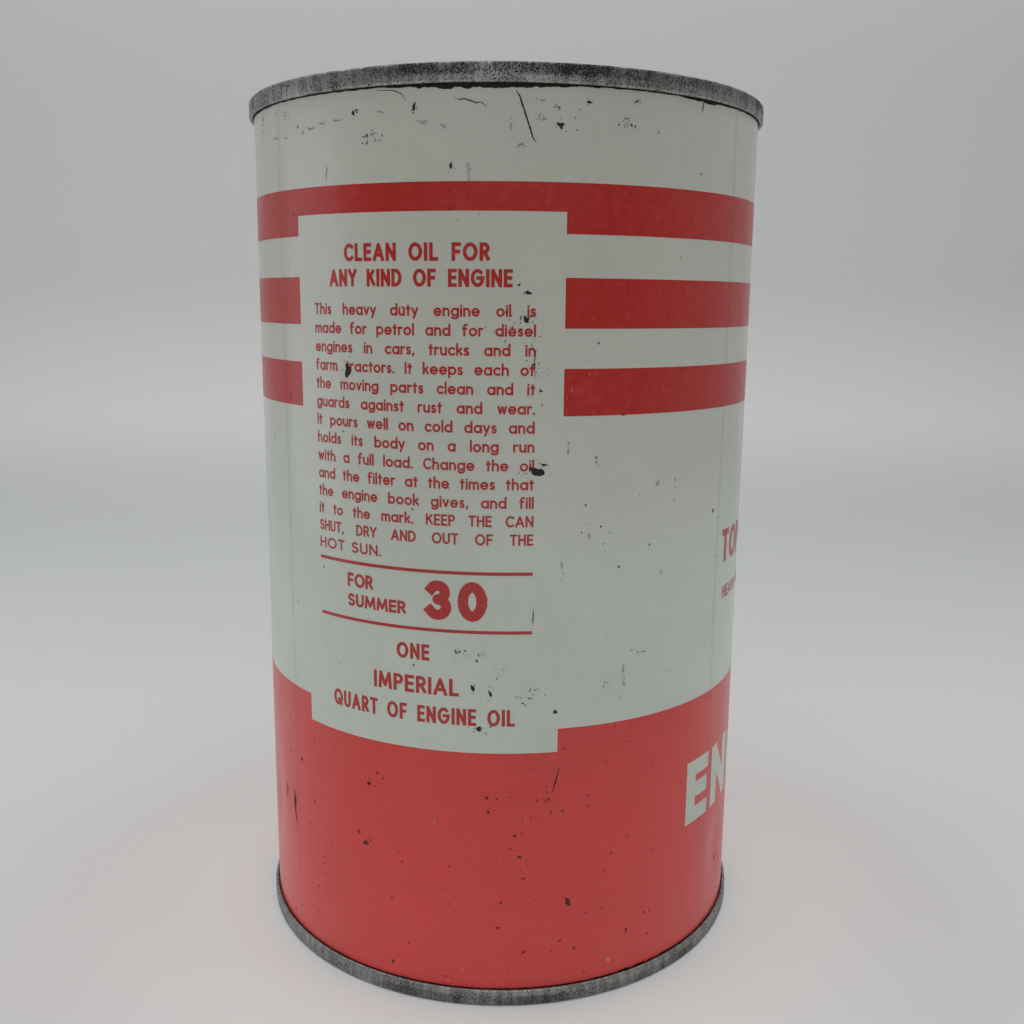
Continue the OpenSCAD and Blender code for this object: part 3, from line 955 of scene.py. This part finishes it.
def enamel(name, low, high, shading_from_z, shading_to_z, faded, chip, chip_share, lacquer=0.5):
    """Printed ink or coating under clear lacquer. Its colour goes from low to high between two heights, in
    mm, as painted light and shade for how the light falls with height. Its tone also changes slowly all over,
    with fine scuffs, hairlines and chipped specks."""
    m = Shader(name)
    tone = m.noise(22, 5, 0.6)
    fine = m.noise(700, 3)
    # Painted light and shade: the colour changes with height for how the light falls on the wall.
    base = m.mix(m.between(m.axis("Z"), shading_from_z * MM, shading_to_z * MM), low, high)
    base = m.mix(m.between(tone, 0.3, 0.7, 0, 0.1), base, chip)
    base = m.mix(m.between(fine, 0.45, 0.8, 0, 0.3), base, faded)
    leaning = m.specks(330, 0.07, 0.13, m.grain(0.35, 0.05))
    upright = m.specks(240, 0.07, 0.12, m.grain(-0.06, 0.04))
    scuffs = m.specks(420, 0.22, 0.17, m.scaled(1, 1, 1.3))
    pale = m.maths("MAXIMUM", scuffs, m.maths("MAXIMUM", leaning, upright))
    base = m.mix(m.times(pale, 0.55), base, faded)
    large, small = m.specks(330, chip_share * 0.5, 0.17), m.specks(640, chip_share * 3, 0.22)
    chips = m.maths("MAXIMUM", large, small)
    base = m.mix(m.times(chips, 0.85), base, chip)
    fold_dents_and_shade = m.maths("MAXIMUM", m.fold(FOLDS[0]), m.fold(FOLDS[1]))
    # Painted shade: the colour darkens a little along each fold line, as shade in the crease.
    base = m.mix(m.times(fold_dents_and_shade, 0.1), base, (0.02, 0.02, 0.02, 1))
    rough = m.maths("ADD", m.between(tone, 0.3, 0.75, 0.3, 0.38), m.times(chips, 0.3))
    height = m.maths("SUBTRACT", m.times(fine, 0.12), chips)
    height = m.maths("SUBTRACT", height, m.times(pale, 0.3))
    height = m.maths("SUBTRACT", height, m.times(fold_dents_and_shade, 0.8))
    bump = m.add("Bump", {"Strength": 0.35, "Distance": 0.00005, "Height": height})
    return m.finish(Base_Color=base, Roughness=rough, Normal=bump, Coat_Weight=lacquer, Coat_Roughness=0.09)


def tinplate(name, bright, dark, tarnish, clean_z=0, dirty_z=0, dirt=0):
    """Old tinplate: grey with dark mottling and a rolled grain. Dirt grows from clean_z to dirty_z, in mm,
    and comes and goes along the rim. It is strongest where X lies between -12 and 28 mm, across the front
    middle of the can, and weaker to either side."""
    m = Shader(name)
    cloudy = m.noise(170, 6, 0.7)
    gritty = m.noise(3600, 2, 0.8)
    grain = m.noise(900, 3, 0.6, m.scaled(1, 1, 0.1))
    mottle = m.maths("MULTIPLY_ADD", gritty, 0.75, m.times(cloudy, 0.4))
    base = m.mix(m.between(grain, 0.35, 0.7), bright, tuple(c * 0.6 for c in bright[:3]) + (1,))
    if dirt:
        patches = m.between(m.noise(75, 4, 0.65, m.scaled(1, 1, 0.4)), 0.36, 0.6, 0.25, 1)
        # The dirt is made stronger where X lies between -12 and 28 mm, across the front middle.
        patches = m.times(patches, m.between(m.axis("X"), -0.026, -0.012, 0.2, 1))
        patches = m.times(patches, m.between(m.axis("X"), 0.028, 0.044, 1, 0.6))
        stain = m.times(m.between(m.axis("Z"), clean_z * MM, dirty_z * MM), patches)
        mottle = m.maths("MULTIPLY_ADD", stain, dirt, mottle)
        base = m.mix(m.times(stain, 0.5), base, dark)
    blotch = m.times(m.between(mottle, 0.57, 0.68), tarnish)
    base = m.mix(blotch, base, dark)
    rough = m.maths("ADD", m.between(grain, 0.2, 0.8, 0.34, 0.5), m.times(blotch, 0.3))
    metallic = m.maths("SUBTRACT", 0.85, m.times(blotch, 0.8))
    gloss = m.maths("SUBTRACT", 0.5, m.times(blotch, 0.4))
    height = m.maths("SUBTRACT", m.times(grain, 0.4), m.times(blotch, 0.6))
    bump = m.add("Bump", {"Strength": 0.4, "Distance": 0.00006, "Height": height})
    return m.finish(Base_Color=base, Metallic=metallic, Roughness=rough, Specular_IOR_Level=gloss,
                    Normal=bump)


def dark_stain(name, colour, light, roughness):
    """The uneven tone of bare plate in a chip, of worn ink or coating, or of oily dirt."""
    m = Shader(name)
    mottle = m.noise(1500, 4, 0.65)
    base = m.mix(m.between(mottle, 0.45, 0.75), colour, light)
    bump = m.add("Bump", {"Strength": 0.5, "Distance": 0.00005, "Height": mottle})
    rough = m.between(mottle, 0.3, 0.7, roughness, roughness + 0.2)
    return m.finish(Base_Color=base, Roughness=rough, Specular_IOR_Level=0.25, Normal=bump)


# ---- the object

# The white coat and the red ink are lighter low down and darker up high: painted light and shade for the
# floor's light on the lower wall. The letter ink changes little with height.
white_enamel = enamel("white enamel", (0.61, 0.67, 0.59, 1), (0.6, 0.612, 0.54, 1), 50, 150,
                      (0.5, 0.53, 0.47, 1), (0.08, 0.08, 0.07, 1), 0.012)
red_ink = enamel("red ink", (0.725, 0.051, 0.045, 1), (0.475, 0.021, 0.017, 1), 26, 104,
                 (0.66, 0.09, 0.08, 1), (0.17, 0.016, 0.013, 1), 0.07, 0.2)
letter_ink = enamel("letter ink", (0.45, 0.018, 0.015, 1), (0.47, 0.022, 0.019, 1), 58, 120,
                    (0.58, 0.09, 0.085, 1), (0.18, 0.02, 0.02, 1), 0.02, 0.2)
rim_plate = tinplate("tarnished rim", (0.46, 0.46, 0.46, 1), (0.018, 0.017, 0.016, 1), 0.95,
                     CAN_TOP - 2.3, CAN_TOP - 1.4, 0.1)
base_plate = tinplate("worn base rim", (0.4, 0.4, 0.39, 1), (0.03, 0.03, 0.027, 1), 0.85, 2.4, 1.6, 0.05)
body_plate = tinplate("body plate", (0.45, 0.45, 0.44, 1), (0.12, 0.11, 0.1, 1), 0.5)
solder_metal = tinplate("dull solder", (0.42, 0.42, 0.43, 1), (0.14, 0.14, 0.14, 1), 0.5)
chip_metal = dark_stain("bare chip", (0.018, 0.018, 0.016, 1), (0.07, 0.065, 0.055, 1), 0.45)
scuffed_coat = dark_stain("scuffed coat", (0.3, 0.31, 0.27, 1), (0.13, 0.135, 0.11, 1), 0.45)
rusty_chip = dark_stain("rusty chip", (0.09, 0.016, 0.013, 1), (0.24, 0.045, 0.035, 1), 0.5)
worn_ink = dark_stain("worn ink", (0.62, 0.23, 0.2, 1), (0.36, 0.22, 0.15, 1), 0.4)
old_grime = dark_stain("old grime", (0.008, 0.008, 0.007, 1), (0.03, 0.027, 0.022, 1), 0.5)
seam_rubber = dark_stain("seam compound", (0.05, 0.045, 0.04, 1), (0.08, 0.07, 0.06, 1), 0.6)

make_body(body_plate)
make_end("top_end_plate", "top_end", True, rim_plate, 3)
make_end("bottom_end_plate", "bottom_end", False, base_plate, 8)
make_solder(solder_metal)
for ring in ("top_seam_compound", "bottom_seam_compound"):
    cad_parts[ring].material_slots[0].material = seam_rubber

print_layer("print_white_coat", WHITE_LIFT, white_enamel, lambda angle, z: True)
print_layer("print_red", RED_LIFT, red_ink, is_red)
make_side_panel(letter_ink)
make_front_panel("right", FRONT_MIDDLE, letter_ink, white_enamel)
make_front_panel("left", BACK_MIDDLE, letter_ink, white_enamel)
make_wear(chip_metal, rusty_chip, worn_ink, scuffed_coat)
make_grime("top_grime_line", True, old_grime)
make_grime("bottom_grime_line", False, old_grime)

# ---- studio

FLOOR_BACK = 0.38
SWEEP_R = 0.14
SWEEP_STEPS = 16
STAGE_HALF = 0.62
WALL_HIGH = 0.8
FLOOR_FRONT = -0.9


def paper_with_painted_light():
    """Paper whose tone changes towards the back and up the wall. Around and in front of the can it is painted
    lighter and a little green: a painted pool of light that hides the can's shadow and red glow on the floor.
    """
    m = Shader("pale paper")
    light_pool_y = m.maths("ADD", m.axis("Y"), 0.02)
    squares = m.times(m.axis("X"), m.axis("X")), m.times(light_pool_y, light_pool_y)
    reach = m.maths("SQRT", m.maths("ADD", *squares))
    base = m.mix(m.between(m.axis("Y"), -0.08, 0.3), (0.675, 0.67, 0.66, 1), (0.59, 0.61, 0.605, 1))
    base = m.mix(m.between(m.axis("Z"), 0, 0.06), base, (0.755, 0.755, 0.755, 1))
    base = m.mix(m.between(m.axis("Z"), 0.12, 0.3), base, (0.7, 0.7, 0.7, 1))
    # Painted light: the paper turns lighter and greener within 2.8 to 10 cm of a point just in front of the
    # can's axis, hiding the can's shadow and red glow on the floor.
    base = m.mix(m.between(reach, 0.028, 0.1), (0.89, 0.945, 0.93, 1), base)
    return m.finish(Base_Color=base, Roughness=0.75)


def make_stage():
    """A floor that turns up into a back wall."""
    section = [(FLOOR_FRONT + (FLOOR_BACK - FLOOR_FRONT) * i / 12, 0) for i in range(13)]
    for i in range(1, SWEEP_STEPS + 1):
        turn = math.radians(90 * i / SWEEP_STEPS)
        section.append((FLOOR_BACK + SWEEP_R * math.sin(turn), SWEEP_R * (1 - math.cos(turn))))
    section.append((FLOOR_BACK + SWEEP_R, WALL_HIGH))
    bm = bmesh.new()
    sides = [[bm.verts.new((x, y, z)) for y, z in section] for x in (-STAGE_HALF, STAGE_HALF)]
    for i in range(len(section) - 1):
        bm.faces.new((sides[0][i], sides[1][i], sides[1][i + 1], sides[0][i + 1]))
    stage = add_object("studio_sweep", bm, paper_with_painted_light())


def add_light(name, place, target, width, height, power, colour=(1, 1, 1), glossy=True):
    """A soft box at a place, turned to a target. Without glossy, it leaves no highlight."""
    light = bpy.data.lights.new(name, "AREA")
    light.shape = "RECTANGLE"
    light.size = width
    light.size_y = height
    light.energy = power
    light.color = colour
    lamp = bpy.data.objects.new(name, light)
    bpy.context.scene.collection.objects.link(lamp)
    lamp.visible_glossy = glossy
    lamp.location = place
    lamp.rotation_euler = (Vector(target) - Vector(place)).to_track_quat("-Z", "Y").to_euler()


def make_world(low, high):
    """Soft light from everywhere, dimmer from the side that the camera looks from."""
    w = Shader("studio", bpy.data.worlds)
    behind = w.axis("Y", w.add("TexCoord", {}, "Generated"))
    spread = {"Value": behind, "From Min": -1, "From Max": 0.6, "To Min": low, "To Max": high}
    strength = w.add("MapRange", spread)
    light = w.add("Background", {"Color": (0.97, 0.99, 1, 1), "Strength": strength})
    bpy.context.scene.world = w.put_out("ShaderNodeOutputWorld", light)


make_stage()
make_world(0, 0.36)
add_light("top_softbox", (0, 0.12, 0.75), (0, 0.12, 0), 0.9, 0.7, 3.4)
add_light("front_softbox", (0, -0.55, 0.6), (0, -0.55, 0), 0.9, 0.4, 0.65)
add_light("floor_softbox", (0, -0.5, 0.3), (0, -0.5, 0), 0.6, 0.25, 0.93)
add_light("left_wall_light", (-0.5, 0.1, 0.55), (-0.5, 0.5, 0.2), 0.2, 0.2, 0.42)
add_light("right_wall_light", (0.5, 0.1, 0.55), (0.5, 0.5, 0.2), 0.2, 0.2, 0.33)
add_light("left_window", (-0.5, 0.01, 0.08), (0, 0, 0.08), 0.3, 0.28, 0.14, (0.92, 0.98, 1))
add_light("left_fill", (-0.5, -0.08, 0.09), (0, 0, 0.09), 0.3, 0.28, 0.27, (0.95, 0.99, 1), glossy=False)
add_light("right_fill", (0.5, -0.1, 0.18), (0, 0, 0.15), 0.3, 0.28, 0.16, glossy=False)

camera = bpy.data.cameras.new("camera")
camera.lens = 38
camera.sensor_width = 36
camera.clip_start = 0.01
view = bpy.data.objects.new("camera", camera)
bpy.context.scene.collection.objects.link(view)
pan, tilt, roll = math.radians(-0.46), math.radians(90 - 11.05), math.radians(0.53)
view.matrix_world = (
    Matrix.Translation((0, -0.2296, 0.1283))
    @ Matrix.Rotation(pan, 4, "Z") @ Matrix.Rotation(tilt, 4, "X") @ Matrix.Rotation(roll, 4, "Z")
)
bpy.context.scene.camera = view
bpy.context.scene.view_settings.view_transform = "Standard"
